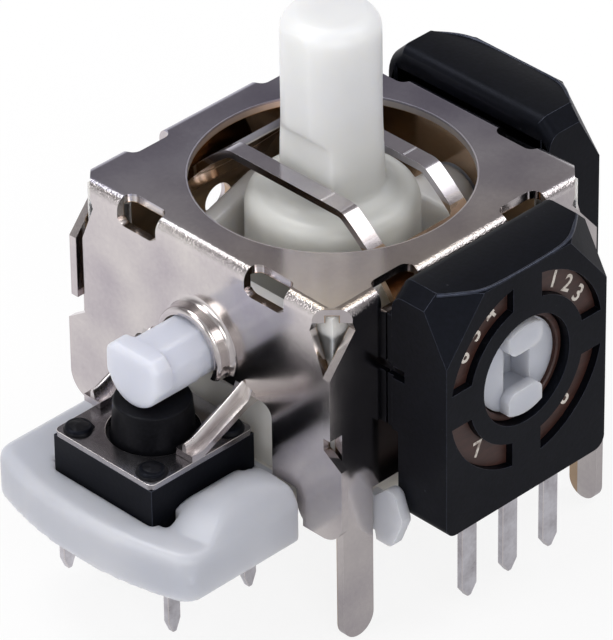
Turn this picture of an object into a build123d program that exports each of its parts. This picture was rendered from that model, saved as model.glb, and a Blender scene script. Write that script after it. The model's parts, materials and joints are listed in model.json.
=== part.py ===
from build123d import *
import math
import os

os.makedirs("parts", exist_ok=True)

# Controller analog stick module, millimetres. The stick's axis is Z, the underside of the white
# base is z = 0, the push switch is on -Y and the two potentiometers are on +X and +Y.

# Folded metal cover
cover_width = 15.8
cover_top = 12.2
cover_sheet = 0.4
bend_radius = 0.6
bend_drop = 0.75
corner_clip = 1.2
corner_taper = 0.15
taper_drop = 0.45
wing_drop = 2.3
opening_radius = 6.2
notch_spacing = 7.7
notch_width = 2.35
notch_inset = 0.85
notch_drop = 1.2
notch_round = 0.45
side_half_x = 8.1
side_half_y = 7.3
side_step_z = 6.1
wall_foot_z = 2.5
leg_outer = 7.4
leg_width = 1.8
leg_tip_z = -4.85
rear_leg_width = 1.6
rear_leg_x = 7.85
lug_half = 8.35
lug_inner = 5.65
lug_top_z = 4.6
lug_slope = 0.7
lug_low_z = 0.7
lug_round = 1.2
hook_inner = 6.0
hook_outer = 7.3
hook_reach = 1.3
arm_window_half = 4.2
arm_window_top = 5.95
arm_window_round = 0.6
collar_radius = 1.62
collar_sheet = 0.32
collar_z = 7.3
collar_length = 0.85
collar_low_z = 6.45
collar_blend = 0.3
collar_nose = 0.22
finger_width = 1.0
finger_sheet = 0.34
finger_centre_right = 2.55
finger_centre_left = -3.1
finger_reach = 3.55
finger_foot = 0.6
finger_bow = 0.25

# Fits between the pieces
running_gap = 0.05
seat_gap = 0.02
wall_gap = 0.1

# Tilt axes and the stick
axis_z = 7.5
stick_radius = 2.18
stick_root_radius = 2.3
foot_neck_radius = 1.95
stick_top = 20.3
stick_edge = 0.85
stick_flat = 2.06
neck_flat = 1.6
neck_low = 11.8
neck_top = 14.6
cap_seat_z = 15.1
skirt_radius = 3.8
skirt_wall = 0.7
skirt_top = 11.6
skirt_roof = 1.2
skirt_round = 0.85
skirt_low = 6.9
skirt_notch_gap = 0.35
cone_rise = 0.35
foot_radius = 2.4
pin_radius = 0.7
pin_half = 4.7
pin_chamfer = 0.12

# White ring and push arm
ring_low = 6.2
ring_end_top = 9.0
ring_end_sheet = 0.95
ring_end_gap = 1.05
ring_corner = 1.5
ring_edge = 0.3
cheek_sheet = 0.85
cheek_gap = 0.25
cheek_half = 3.3
cheek_top = 10.2
cheek_round = 1.3
arm_radius = 1.5
arm_shoulder = 0.45
arm_shoulder_half = 1.44
arm_crown = 1.2
arm_crown_half = 0.75
arm_end_y = -12.05
block_length = 1.0
block_half = 1.57
block_waist = 0.3
block_shoulder = 0.85
block_crown = 1.25
block_crown_half = 1.15
block_round = 0.25
shaft_radius = 1.5
key_half_width = 0.9
key_half_height = 0.5
key_end_gap = 0.25

# Slotted metal arch
arch_sheet = 0.35
arch_top = 13.1
arch_half_width = 2.88
arch_flat_half = 3.45
arch_bend_z = 8.7
arch_bulge = 0.35
arch_slot_half = 2.03
arch_slot_left = 4.3
arch_slot_right = 5.3
arch_slot_round = 0.4
arch_eye_radius = 1.75
arch_bore_radius = 0.8
arch_collar_wall = 0.24
arch_collar_length = 0.3
arch_key_half = 0.9
arch_bend_round = 0.9

# Potentiometers
pot_half = 4.85
pot_low = 1.15
pot_top = 12.85
pot_stand = 0.42
pot_depth = 1.98
pot_front_sheet = 1.22
pot_bevel = 0.2
pot_facet_low = 9.85
pot_facet_half = 2.6
pot_wall = 0.38
pot_roof = 1.05
pot_corner = 0.6
pot_shoulder = 0.65
pot_hole = 2.6
pot_step_z = 5.35
pot_step = 0.35
pot_notch_z = 8.3
pot_notch_half = 0.3
pot_notch_depth = 0.75
pot_pad_inset = 0.13
pot_pad_top = 11.0
window_inner = 3.45
window_outer = 4.6
window_web = 0.86
board_sheet = 0.8
board_hole = 2.35
rotor_journal = 1.5
rotor_disc = 3.5
rotor_disc_sheet = 0.6
rotor_hub = 2.2
rotor_hub_rise = 0.6
rotor_lug_half = 1.0
rotor_lug_inner = 0.95
rotor_lug_round = 0.5
rotor_lug_inset = 0.07
rotor_well_half = 0.8
rotor_well_height = 1.25
rotor_well_sink = 0.5
rotor_well_sheet = 0.15
wiper_gap = 0.03
wiper_sheet = 0.12
wiper_inner = 2.4
wiper_outer = 3.3
contact_radius = 0.3
contact_rise = 0.05
pin_point = 0.2
terminal_pitch = 2.5
terminal_width = 0.9
terminal_sheet = 0.3
terminal_tip_z = -3.47
terminal_taper = 0.5
terminal_top_z = 3.4

# White base
floor_low = 1.1
floor_top = 2.3
post_size = 1.3
post_top = 10.7
post_chamfer = 0.15
upright_half = 4.6
upright_top = 6.6
upright_sheet = 0.7
upright_round = 0.6
arm_slot_half = 1.85
arm_slot_low = 5.3
platform_half = 6.0
platform_side_y = -14.5
platform_nose_y = -15.6
platform_rear_y = -8.05
platform_neck_half = 4.0
platform_round = 0.9
platform_edge = 0.5
shoulder_x = 4.4
shoulder_y = -10.3
shoulder_top = 3.15
shoulder_low = 1.9
shoulder_inner_z = 2.7
shoulder_dome = 6.0
guide_sheet = 0.6
guide_top = 3.9
ear_sheet = 0.55
ear_root = 6.5
ear_reach = 1.65
ear_low = -0.25
ear_high = 2.95
ear_nose_z = 1.35
ear_heel_z = 0.2
ear_top_inset = 0.6
ear_low_inset = 0.65
ear_root_high = 2.0
ear_round = 0.4

# Spring and its seat
seat_radius = 2.9
seat_sheet = 0.8
seat_skirt = 0.85
seat_wall = 0.55
spring_radius = 2.1
spring_wire = 0.35
spring_turns = 3.5
spring_well_depth = 0.6

# Push switch
switch_size = 6.0
switch_y = -10.8
switch_seat_z = 0.77
switch_body_top = 4.0
switch_plate_sheet = 0.27
switch_cavity = 2.45
switch_cavity_z = 1.6
switch_plate_hole = 2.05
rivet_spacing = 4.5
rivet_shank = 0.45
rivet_head = 0.62
rivet_rise = 0.22
rivet_round = 0.14
switch_plate_corner = 0.3
button_base = 1.85
button_tip = 1.7
button_top = 5.92
button_flange = 2.3
button_flange_sheet = 0.75
button_nub = 0.8
button_nub_drop = 0.4
dome_radius = 2.2
dome_rise = 0.6
dome_sheet = 0.12
switch_pin_x = 3.25
switch_pin_spacing = 4.5
switch_pin_tip_z = -3.5
switch_pin_taper = 0.6
switch_pin_width = 0.7
switch_pin_sheet = 0.3
switch_pin_root = 0.4
switch_pin_slot = 0.1

# Derived from the sizes above
cover_half = cover_width / 2
inner_half = cover_half - cover_sheet
floor_half = inner_half - wall_gap
bend_z = cover_top - bend_drop
clip_half = cover_half - corner_clip
foot_z = axis_z - foot_radius
seat_top = foot_z - running_gap
seat_low = seat_top - seat_sheet - seat_skirt
guide_radius = seat_radius + running_gap
spring_low = floor_top - spring_well_depth
arch_leg_x = inner_half - running_gap
arch_collar_radius = arch_bore_radius + arch_collar_wall
ring_end_y = skirt_radius + ring_end_gap
cheek_x = skirt_radius + cheek_gap
bearing_radius = rotor_journal + running_gap
pot_back = cover_half + pot_stand
pot_ridge = pot_back + pot_depth
pot_face = pot_ridge + pot_front_sheet
board_back = pot_ridge - board_sheet
wiper_back = board_back - wiper_gap - contact_rise - wiper_sheet
rotor_back = inner_half + running_gap
rotor_disc_back = wiper_back - rotor_disc_sheet
rotor_hub_face = pot_ridge + rotor_hub_rise
rotor_lug_face = pot_face - rotor_lug_inset
rotor_well_floor = pot_ridge - rotor_well_sink
rotor_key_end = rotor_well_floor - rotor_well_sheet
arch_key_end = rotor_key_end - running_gap
key_end = rotor_key_end - key_end_gap
shaft_end = rotor_back - wall_gap
plate_top = switch_body_top + switch_plate_sheet
finger_z = plate_top + seat_gap
finger_tip_y = -cover_half - finger_reach

plus_x = Plane(origin=(0, 0, 0), x_dir=(0, 1, 0), z_dir=(1, 0, 0))
plus_y = Plane(origin=(0, 0, 0), x_dir=(-1, 0, 0), z_dir=(0, 1, 0))
minus_x = Plane(origin=(0, 0, 0), x_dir=(0, -1, 0), z_dir=(-1, 0, 0))
minus_y = Plane(origin=(0, 0, 0), x_dir=(1, 0, 0), z_dir=(0, -1, 0))


def mirrored(points):
    return points + [(-x, z) for x, z in reversed(points)]


# Flat terminal that narrows to a blunt point
def pin_outline(centre, width, top, tip, taper):
    outline = mirrored([(width / 2, top), (width / 2, tip + taper), (pin_point / 2, tip)])
    return [(centre + x, z) for x, z in outline]


# Upper edge of a cover wall, which narrows towards the clipped corners of the top plate
def wall_top(half_width):
    return [(clip_half, bend_z), (clip_half - corner_taper, bend_z - taper_drop),
            (half_width, bend_z - wing_drop)]


# Round edges of the drawn collar, from its lip to its root
def collar_circles(edge_list):
    outer = collar_radius + collar_sheet
    circles = edge_list.filter_by(GeomType.CIRCLE).filter_by(lambda edge: math.isclose(edge.radius, outer))
    return circles.sort_by(Axis.Y)


with BuildPart() as cover_frame:
    with BuildSketch(Plane.XY.offset(bend_z)):
        Rectangle(cover_width, cover_width)
    extrude(amount=bend_drop)
    fillet(faces().sort_by(Axis.Z)[-1].edges(), bend_radius)
    with BuildSketch(Plane.XY.offset(bend_z)):
        Rectangle(cover_width, cover_width)
        chamfer(vertices(), corner_clip)
    extrude(amount=bend_drop, mode=Mode.INTERSECT)
    with BuildSketch(Plane.XY.offset(bend_z)):
        Rectangle(2 * inner_half, 2 * inner_half)
    extrude(amount=bend_drop - cover_sheet, mode=Mode.SUBTRACT)

    # X walls: wide wings above the step and one leg each, on the switch side
    for side, leg_sign in ((plus_x, -1), (minus_x, 1)):
        leg_centre = leg_sign * (leg_outer - leg_width / 2)
        with BuildSketch(side.offset(inner_half)):
            with BuildLine():
                wing = [(side_half_x, side_step_z), (leg_outer, side_step_z), (leg_outer, wall_foot_z)]
                Polyline(*mirrored(wall_top(side_half_x) + wing), close=True)
            make_face()
            with Locations((leg_centre, side_step_z)):
                Rectangle(leg_width, side_step_z - leg_tip_z - leg_width / 2,
                          align=(Align.CENTER, Align.MAX))
            with Locations((leg_centre, leg_tip_z + leg_width / 2)):
                Circle(leg_width / 2)
        extrude(amount=cover_sheet)

    # Y walls: rounded lugs beside the base, which are two more legs on the far wall
    for side, lug_outer in ((minus_y, lug_half), (plus_y, rear_leg_x + rear_leg_width / 2)):
        with BuildSketch(side.offset(inner_half)):
            with BuildLine():
                flank = [(side_half_y, lug_top_z + lug_slope), (lug_outer, lug_top_z),
                         (lug_outer, wall_foot_z), (lug_inner, wall_foot_z)]
                Polyline(*mirrored(wall_top(side_half_y) + flank), close=True)
            make_face()
            for sign in (-1, 1):
                with Locations((sign * (lug_inner + lug_half) / 2, lug_top_z)):
                    Rectangle(lug_half - lug_inner, lug_top_z - lug_low_z, align=(Align.CENTER, Align.MAX))
            fillet(vertices().group_by(Axis.Y)[0], lug_round)
        extrude(amount=cover_sheet)
    with BuildSketch(plus_y.offset(inner_half)):
        for sign in (-1, 1):
            with Locations((sign * rear_leg_x, lug_top_z)):
                Rectangle(rear_leg_width, lug_top_z - leg_tip_z - rear_leg_width / 2,
                          align=(Align.CENTER, Align.MAX))
            with Locations((sign * rear_leg_x, leg_tip_z + rear_leg_width / 2)):
                Circle(rear_leg_width / 2)
    extrude(amount=cover_sheet)

    # Round opening, and the relief notches in the four bends
    with BuildSketch(Plane.XY.offset(cover_top)):
        Circle(opening_radius)
    extrude(amount=-2 * cover_sheet, mode=Mode.SUBTRACT)
    with BuildSketch(Plane.XY.offset(cover_top - cover_sheet - bend_radius)):
        with PolarLocations(cover_half, 4):
            with GridLocations(2 * notch_inset, notch_spacing, 1, 2):
                Rectangle(2 * notch_inset, notch_width)
        fillet(vertices(), notch_round)
    extrude(amount=cover_sheet + bend_radius, mode=Mode.SUBTRACT)
    for side in (plus_x, minus_x, plus_y, minus_y):
        with BuildSketch(side.offset(inner_half)):
            with Locations((-notch_spacing / 2, cover_top), (notch_spacing / 2, cover_top)):
                Rectangle(notch_width, 2 * notch_drop)
            fillet(vertices(), notch_round)
        extrude(amount=cover_sheet, mode=Mode.SUBTRACT)

    # Collar drawn round the push arm, and the window below it
    with BuildSketch(minus_y.offset(inner_half)):
        with Locations((0, collar_z)):
            Circle(collar_radius + collar_sheet)
    extrude(amount=cover_sheet + collar_length)
    fillet(collar_circles(edges())[-1], collar_blend)
    fillet(collar_circles(edges())[0], collar_nose)
    with BuildSketch(minus_y.offset(cover_half)):
        with Locations((0, collar_low_z)):
            Rectangle(2 * arm_window_half, 2 * collar_radius, align=(Align.CENTER, Align.MAX))
    extrude(amount=2 * collar_length, mode=Mode.SUBTRACT)
    with BuildSketch(minus_y.offset(inner_half)):
        Rectangle(2 * arm_window_half, arm_window_top, align=(Align.CENTER, Align.MIN))
        fillet(vertices().group_by(Axis.Y)[-1], arm_window_round)
        with Locations((0, collar_z)):
            Circle(collar_radius)
    extrude(amount=cover_sheet + 2 * collar_length, mode=Mode.SUBTRACT)

    # Bearings of the two rotors and of the arch's collar
    for side in (plus_x, plus_y):
        with BuildSketch(side.offset(inner_half)):
            with Locations((0, axis_z)):
                Circle(bearing_radius)
        extrude(amount=cover_sheet, mode=Mode.SUBTRACT)
    with BuildSketch(minus_x.offset(inner_half)):
        with Locations((0, axis_z)):
            Circle(arch_collar_radius + running_gap)
    extrude(amount=cover_sheet, mode=Mode.SUBTRACT)

    # Two fingers bent out of the window's edge, which hold the switch down
    for centre in (finger_centre_left, finger_centre_right):
        with BuildSketch(Plane.YZ.offset(centre - finger_width / 2)):
            with BuildLine():
                Polyline((-inner_half, arm_window_top + finger_sheet),
                         (-cover_half, arm_window_top + finger_sheet),
                         (-cover_half - finger_bow, arm_window_top - finger_bow / 2),
                         (finger_tip_y + finger_foot, finger_z + finger_sheet),
                         (finger_tip_y, finger_z + finger_sheet), (finger_tip_y, finger_z),
                         (finger_tip_y + finger_foot, finger_z),
                         (-cover_half - finger_bow, arm_window_top - finger_bow / 2 - finger_sheet),
                         (-inner_half, arm_window_top - finger_sheet), close=True)
            make_face()
        extrude(amount=finger_width)

    # Hooks folded from the lugs under the base
    for y_sign in (-1, 1):
        with BuildSketch(Plane.XY.offset(lug_low_z)):
            for sign in (-1, 1):
                hook_x = sign * (hook_inner + hook_outer) / 2
                with Locations((hook_x, y_sign * (cover_half - hook_reach / 2))):
                    Rectangle(hook_outer - hook_inner, hook_reach)
        extrude(amount=floor_low - running_gap - lug_low_z)
cover_frame.part.label = "cover_frame"
export_step(cover_frame.part, "parts/cover_frame.step")


# Domed right shoulder of the switch platform
pocket_half = switch_size / 2 + running_gap
with BuildPart() as platform_shoulder:
    with BuildSketch(minus_y.offset(-platform_rear_y)):
        with BuildLine():
            ThreePointArc((pocket_half, shoulder_inner_z), (shoulder_x, shoulder_top),
                          (platform_half, shoulder_low))
            Polyline((platform_half, shoulder_low), (platform_half, floor_low), (pocket_half, floor_low),
                     (pocket_half, shoulder_inner_z))
        make_face()
    extrude(amount=platform_rear_y - platform_side_y)
    with Locations((shoulder_x, shoulder_y, shoulder_top - shoulder_dome)):
        Sphere(shoulder_dome, mode=Mode.INTERSECT)


# White base: switch platform first, then the floor with its posts, uprights, guide and ears
with BuildPart() as base_plate:
    with BuildSketch():
        with BuildLine():
            ThreePointArc((-platform_half, platform_side_y), (0, platform_nose_y),
                          (platform_half, platform_side_y))
            Polyline((platform_half, platform_side_y), (platform_half, platform_rear_y),
                     (-platform_half, platform_rear_y), (-platform_half, platform_side_y))
        make_face()
        fillet(vertices().group_by(Axis.Y)[0], platform_round)
    extrude(amount=floor_top)
    fillet(faces().sort_by(Axis.Z)[-1].edges().sort_by(Axis.Y)[:-1], platform_edge)

    add(platform_shoulder.part)

    # Floor and the neck to the platform
    with BuildSketch(Plane.XY.offset(floor_low)):
        Rectangle(2 * floor_half, 2 * floor_half)
        with Locations((0, platform_rear_y)):
            Rectangle(2 * platform_neck_half, 2 * upright_sheet)
    extrude(amount=floor_top - floor_low)

    # Pocket of the switch, with slots for its terminals
    with BuildSketch(Plane.XY.offset(switch_seat_z)):
        with Locations((0, switch_y)):
            Rectangle(2 * pocket_half, 2 * pocket_half)
    extrude(amount=switch_size, mode=Mode.SUBTRACT)
    with BuildSketch():
        with Locations((0, switch_y)):
            with GridLocations(2 * switch_pin_x, switch_pin_spacing, 2, 2):
                Rectangle(switch_pin_sheet + 2 * switch_pin_slot, switch_pin_width + 2 * switch_pin_slot)
    extrude(amount=switch_size, mode=Mode.SUBTRACT)

    # Corner posts
    with BuildSketch(Plane.XY.offset(floor_top)):
        with GridLocations(2 * floor_half - post_size, 2 * floor_half - post_size, 2, 2):
            Rectangle(post_size, post_size)
        chamfer(vertices(), post_chamfer)
    extrude(amount=post_top - floor_top)

    # Uprights at the ends of the rocker: a wide slot for the arm, a bearing for the rear shaft
    with BuildSketch(minus_y.offset(floor_half - upright_sheet)):
        with Locations((0, floor_top)):
            Rectangle(2 * upright_half, upright_top - floor_top, align=(Align.CENTER, Align.MIN))
        fillet(vertices().group_by(Axis.Y)[-1], upright_round)
        with Locations((0, arm_slot_low)):
            Rectangle(2 * arm_slot_half, upright_top, align=(Align.CENTER, Align.MIN), mode=Mode.SUBTRACT)
    extrude(amount=upright_sheet)
    with BuildSketch(plus_y.offset(floor_half - upright_sheet)):
        with Locations((0, floor_top)):
            Rectangle(2 * upright_half, upright_top - floor_top, align=(Align.CENTER, Align.MIN))
        fillet(vertices().group_by(Axis.Y)[-1], upright_round)
        with Locations((0, axis_z)):
            Circle(shaft_radius + wall_gap, mode=Mode.SUBTRACT)
    extrude(amount=upright_sheet)

    # Guide of the spring seat, and the well under the spring
    with BuildSketch(Plane.XY.offset(floor_top)):
        Circle(guide_radius + guide_sheet)
        Circle(guide_radius, mode=Mode.SUBTRACT)
    extrude(amount=guide_top - floor_top)
    with BuildSketch(Plane.XY.offset(spring_low)):
        Circle(spring_radius + spring_wire / 2 + wall_gap)
    extrude(amount=spring_well_depth, mode=Mode.SUBTRACT)

    # Ears that stand beside each potentiometer
    for side in (plus_x, plus_y):
        for sign in (-1, 1):
            ear = Plane(origin=side.x_dir * (sign * (pot_half + wall_gap)), x_dir=side.z_dir,
                        z_dir=side.x_dir * -1)
            ear_end = cover_half + ear_reach
            with BuildSketch(ear):
                with BuildLine():
                    Polyline((ear_root, ear_heel_z), (cover_half, ear_heel_z),
                             (cover_half + wall_gap, ear_low), (ear_end - ear_low_inset, ear_low),
                             (ear_end, ear_nose_z),
                             (ear_end - ear_top_inset, ear_high), (cover_half, ear_root_high),
                             (ear_root, ear_root_high), close=True)
                make_face()
                fillet(vertices().sort_by(Axis.X)[-3:], ear_round)
            extrude(amount=-sign * ear_sheet)
base_plate.part.label = "base_plate"
export_step(base_plate.part, "parts/base_plate.step")


# Stick: ball foot, hollow round skirt and a shaft with flats
with BuildPart() as stick:
    ball_rise = math.sqrt(foot_radius ** 2 - foot_neck_radius ** 2)
    with BuildSketch(Plane.XZ):
        with BuildLine():
            ThreePointArc((0, foot_z), (foot_radius, axis_z), (foot_neck_radius, axis_z + ball_rise))
            Polyline((foot_neck_radius, axis_z + ball_rise), (foot_neck_radius, skirt_top - skirt_roof),
                     (skirt_radius - skirt_wall, skirt_top - skirt_roof),
                     (skirt_radius - skirt_wall, skirt_low), (skirt_radius, skirt_low),
                     (skirt_radius, skirt_top - skirt_round))
            JernArc((skirt_radius, skirt_top - skirt_round), (0, 1), skirt_round, 90)
            Polyline((skirt_radius - skirt_round, skirt_top), (stick_root_radius, skirt_top + cone_rise),
                     (stick_radius, cap_seat_z), (stick_radius, stick_top - stick_edge))
            JernArc((stick_radius, stick_top - stick_edge), (0, 1), stick_edge, 90)
            Polyline((stick_radius - stick_edge, stick_top), (0, stick_top), (0, foot_z))
        make_face()
    revolve(axis=Axis.Z)
    for sign in (-1, 1):
        with BuildSketch(plus_x.offset(-skirt_radius)):
            with BuildLine():
                Polyline((sign * skirt_radius, neck_low), (sign * neck_flat, neck_low),
                         (sign * neck_flat, neck_top), (sign * stick_flat, cap_seat_z),
                         (sign * stick_flat, stick_top),
                         (sign * skirt_radius, stick_top), close=True)
            make_face()
        extrude(amount=2 * skirt_radius, mode=Mode.SUBTRACT)
    with BuildSketch(plus_x.offset(-foot_radius)):
        with Locations((0, axis_z)):
            Circle(pin_radius + running_gap)
    extrude(amount=2 * foot_radius, mode=Mode.SUBTRACT)
    for side in (plus_x, minus_x):
        with BuildSketch(side.offset(skirt_radius - 2 * skirt_wall)):
            with Locations((0, axis_z)):
                Circle(pin_radius + skirt_notch_gap)
                Rectangle(2 * (pin_radius + skirt_notch_gap), foot_radius, align=(Align.CENTER, Align.MAX))
        extrude(amount=3 * skirt_wall, mode=Mode.SUBTRACT)
stick.part.label = "stick"
export_step(stick.part, "parts/stick.step")


# Steel pin across the rocker, on which the stick tilts
with BuildPart() as hinge_pin:
    with BuildSketch(plus_x.offset(-pin_half)):
        with Locations((0, axis_z)):
            Circle(pin_radius)
    extrude(amount=2 * pin_half)
    chamfer(edges().filter_by(GeomType.CIRCLE), pin_chamfer)
hinge_pin.part.label = "hinge_pin"
export_step(hinge_pin.part, "parts/hinge_pin.step")


# White rocker: ring with two cheeks for the pin, push arm with its end block, rear shaft and key
with BuildPart() as rocker_arm:
    ring_half_y = ring_end_y + ring_end_sheet
    with BuildSketch(Plane.XY.offset(ring_low)):
        Rectangle(2 * (cheek_x + cheek_sheet), 2 * ring_half_y)
        fillet(vertices(), ring_corner)
    extrude(amount=ring_end_top - ring_low)
    fillet(faces().sort_by(Axis.Z)[-1].edges(), ring_edge)
    for side in (plus_x, minus_x):
        with BuildSketch(side.offset(cheek_x)):
            with Locations((0, ring_low)):
                Rectangle(2 * cheek_half, cheek_top - ring_low, align=(Align.CENTER, Align.MIN))
            fillet(vertices().group_by(Axis.Y)[-1], cheek_round)
        extrude(amount=cheek_sheet)
    with BuildSketch(Plane.XY.offset(ring_low)):
        Rectangle(2 * cheek_x, 2 * ring_end_y)
    extrude(amount=cheek_top - ring_low, mode=Mode.SUBTRACT)
    with BuildSketch(plus_x):
        with Locations((0, axis_z)):
            Circle(pin_radius + seat_gap)
    extrude(amount=cover_half, both=True, mode=Mode.SUBTRACT)

    # Arm: round underneath so that it keeps its height over the button as the rocker tilts
    with BuildSketch(minus_y.offset(ring_end_y + ring_edge)):
        with BuildLine():
            ThreePointArc((-arm_radius, axis_z), (0, axis_z - arm_radius), (arm_radius, axis_z))
            Polyline((arm_radius, axis_z), (arm_shoulder_half, axis_z + arm_shoulder),
                     (arm_crown_half, axis_z + arm_crown), (-arm_crown_half, axis_z + arm_crown),
                     (-arm_shoulder_half, axis_z + arm_shoulder), (-arm_radius, axis_z))
        make_face()
    extrude(amount=-arm_end_y - ring_end_y - ring_edge)
    heel = arm_radius / math.sqrt(2)
    with BuildSketch(minus_y.offset(-arm_end_y - block_length)):
        with BuildLine():
            ThreePointArc((-heel, axis_z - heel), (0, axis_z - arm_radius), (heel, axis_z - heel))
            Polyline((heel, axis_z - heel), (block_half, axis_z - block_waist),
                     (block_half, axis_z + block_shoulder), (block_crown_half, axis_z + block_crown),
                     (-block_crown_half, axis_z + block_crown), (-block_half, axis_z + block_shoulder),
                     (-block_half, axis_z - block_waist), (-heel, axis_z - heel))
        make_face()
    extrude(amount=block_length)
    fillet(faces().sort_by(Axis.Y)[0].edges(), block_round)

    # Rear shaft in the base's bearing, and the key that turns the rotor
    with BuildSketch(plus_y.offset(ring_end_y + ring_edge)):
        with Locations((0, axis_z)):
            Circle(shaft_radius)
    extrude(amount=shaft_end - ring_end_y - ring_edge)
    with BuildSketch(plus_y.offset(shaft_end)):
        with Locations((0, axis_z)):
            Rectangle(2 * key_half_width, 2 * key_half_height)
    extrude(amount=key_end - shaft_end)
rocker_arm.part.label = "rocker_arm"
export_step(rocker_arm.part, "parts/rocker_arm.step")


# Metal arch bent from one strip, slotted for the stick
with BuildPart() as slotted_arch:
    chord_x = (arch_flat_half + arch_leg_x) / 2
    chord_z = (arch_top + arch_bend_z) / 2
    chord = math.hypot(arch_leg_x - arch_flat_half, arch_top - arch_bend_z)
    bulge_x = chord_x + arch_bulge * (arch_top - arch_bend_z) / chord
    bulge_z = chord_z + arch_bulge * (arch_leg_x - arch_flat_half) / chord
    with BuildSketch(Plane.XZ.offset(-arch_half_width)):
        with BuildLine():
            Line((-arch_flat_half, arch_top), (arch_flat_half, arch_top))
            ThreePointArc((arch_flat_half, arch_top), (bulge_x, bulge_z), (arch_leg_x, arch_bend_z))
            Polyline((arch_leg_x, arch_bend_z), (arch_leg_x, axis_z), (-arch_leg_x, axis_z),
                     (-arch_leg_x, arch_bend_z))
            ThreePointArc((-arch_leg_x, arch_bend_z), (-bulge_x, bulge_z), (-arch_flat_half, arch_top))
        make_face()
        fillet(vertices().group_by(Axis.Y)[-1], arch_bend_round)
        offset(amount=-arch_sheet, kind=Kind.INTERSECTION, mode=Mode.SUBTRACT)
        with Locations((0, arch_bend_z)):
            Rectangle(3 * arch_leg_x, arch_bend_z, align=(Align.CENTER, Align.MAX), mode=Mode.SUBTRACT)
    extrude(amount=2 * arch_half_width)
    with BuildSketch(Plane.XY.offset(arch_bend_z)):
        with Locations(((arch_slot_right - arch_slot_left) / 2, 0)):
            Rectangle(arch_slot_left + arch_slot_right, 2 * arch_slot_half)
        fillet(vertices(), arch_slot_round)
    extrude(amount=arch_top, mode=Mode.SUBTRACT)

    # Legs that narrow to a round eye, with the pivot collar on one and the key on the other
    for side in (plus_x, minus_x):
        with BuildSketch(side.offset(arch_leg_x - arch_sheet)):
            with Locations((0, arch_bend_z)):
                Rectangle(2 * arch_half_width, arch_sheet, align=(Align.CENTER, Align.MAX))
            with Locations((0, axis_z)):
                Circle(arch_eye_radius)
            make_hull()
        extrude(amount=arch_sheet)
    with BuildSketch(minus_x.offset(arch_leg_x)):
        with Locations((0, axis_z)):
            Circle(arch_collar_radius)
    extrude(amount=arch_collar_length)
    with BuildSketch(minus_x.offset(arch_leg_x - arch_sheet)):
        with Locations((0, axis_z)):
            Circle(arch_bore_radius)
    extrude(amount=arch_sheet + arch_collar_length, mode=Mode.SUBTRACT)
    with BuildSketch(plus_x.offset(arch_leg_x - arch_sheet)):
        with Locations((0, axis_z)):
            Rectangle(2 * arch_key_half, arch_sheet)
    extrude(amount=arch_key_end - arch_leg_x + arch_sheet)
slotted_arch.part.label = "slotted_arch"
export_step(slotted_arch.part, "parts/slotted_arch.step")


# Sliding cup under the stick's foot
with BuildPart() as spring_seat:
    with BuildSketch(Plane.XY.offset(seat_low)):
        Circle(seat_radius)
    extrude(amount=seat_top - seat_low)
    with BuildSketch(Plane.XY.offset(seat_low)):
        Circle(seat_radius - seat_wall)
    extrude(amount=seat_skirt, mode=Mode.SUBTRACT)
spring_seat.part.label = "spring_seat"
export_step(spring_seat.part, "parts/spring_seat.step")


# Coil spring between the base's well and the cup
with BuildPart() as return_spring:
    coil_height = seat_top - seat_sheet - spring_low - spring_wire - 2 * seat_gap
    with BuildLine(Plane.XY.offset(spring_low + spring_wire / 2 + seat_gap)):
        coil = Helix(pitch=coil_height / spring_turns, height=coil_height, radius=spring_radius)
    with BuildSketch(Plane(origin=coil @ 0, z_dir=coil % 0)):
        Circle(spring_wire / 2)
    sweep()
return_spring.part.label = "return_spring"
export_step(return_spring.part, "parts/return_spring.step")


# Plane through three points of a potentiometer's corner, facing outwards
def corner_plane(side, first, second, third):
    start = side.from_local_coords(first)
    along = side.from_local_coords(second) - start
    normal = along.cross(side.from_local_coords(third) - start)
    if normal.dot(start) < 0:
        normal = normal * -1
    return Plane(origin=start, x_dir=along, z_dir=normal)


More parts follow.
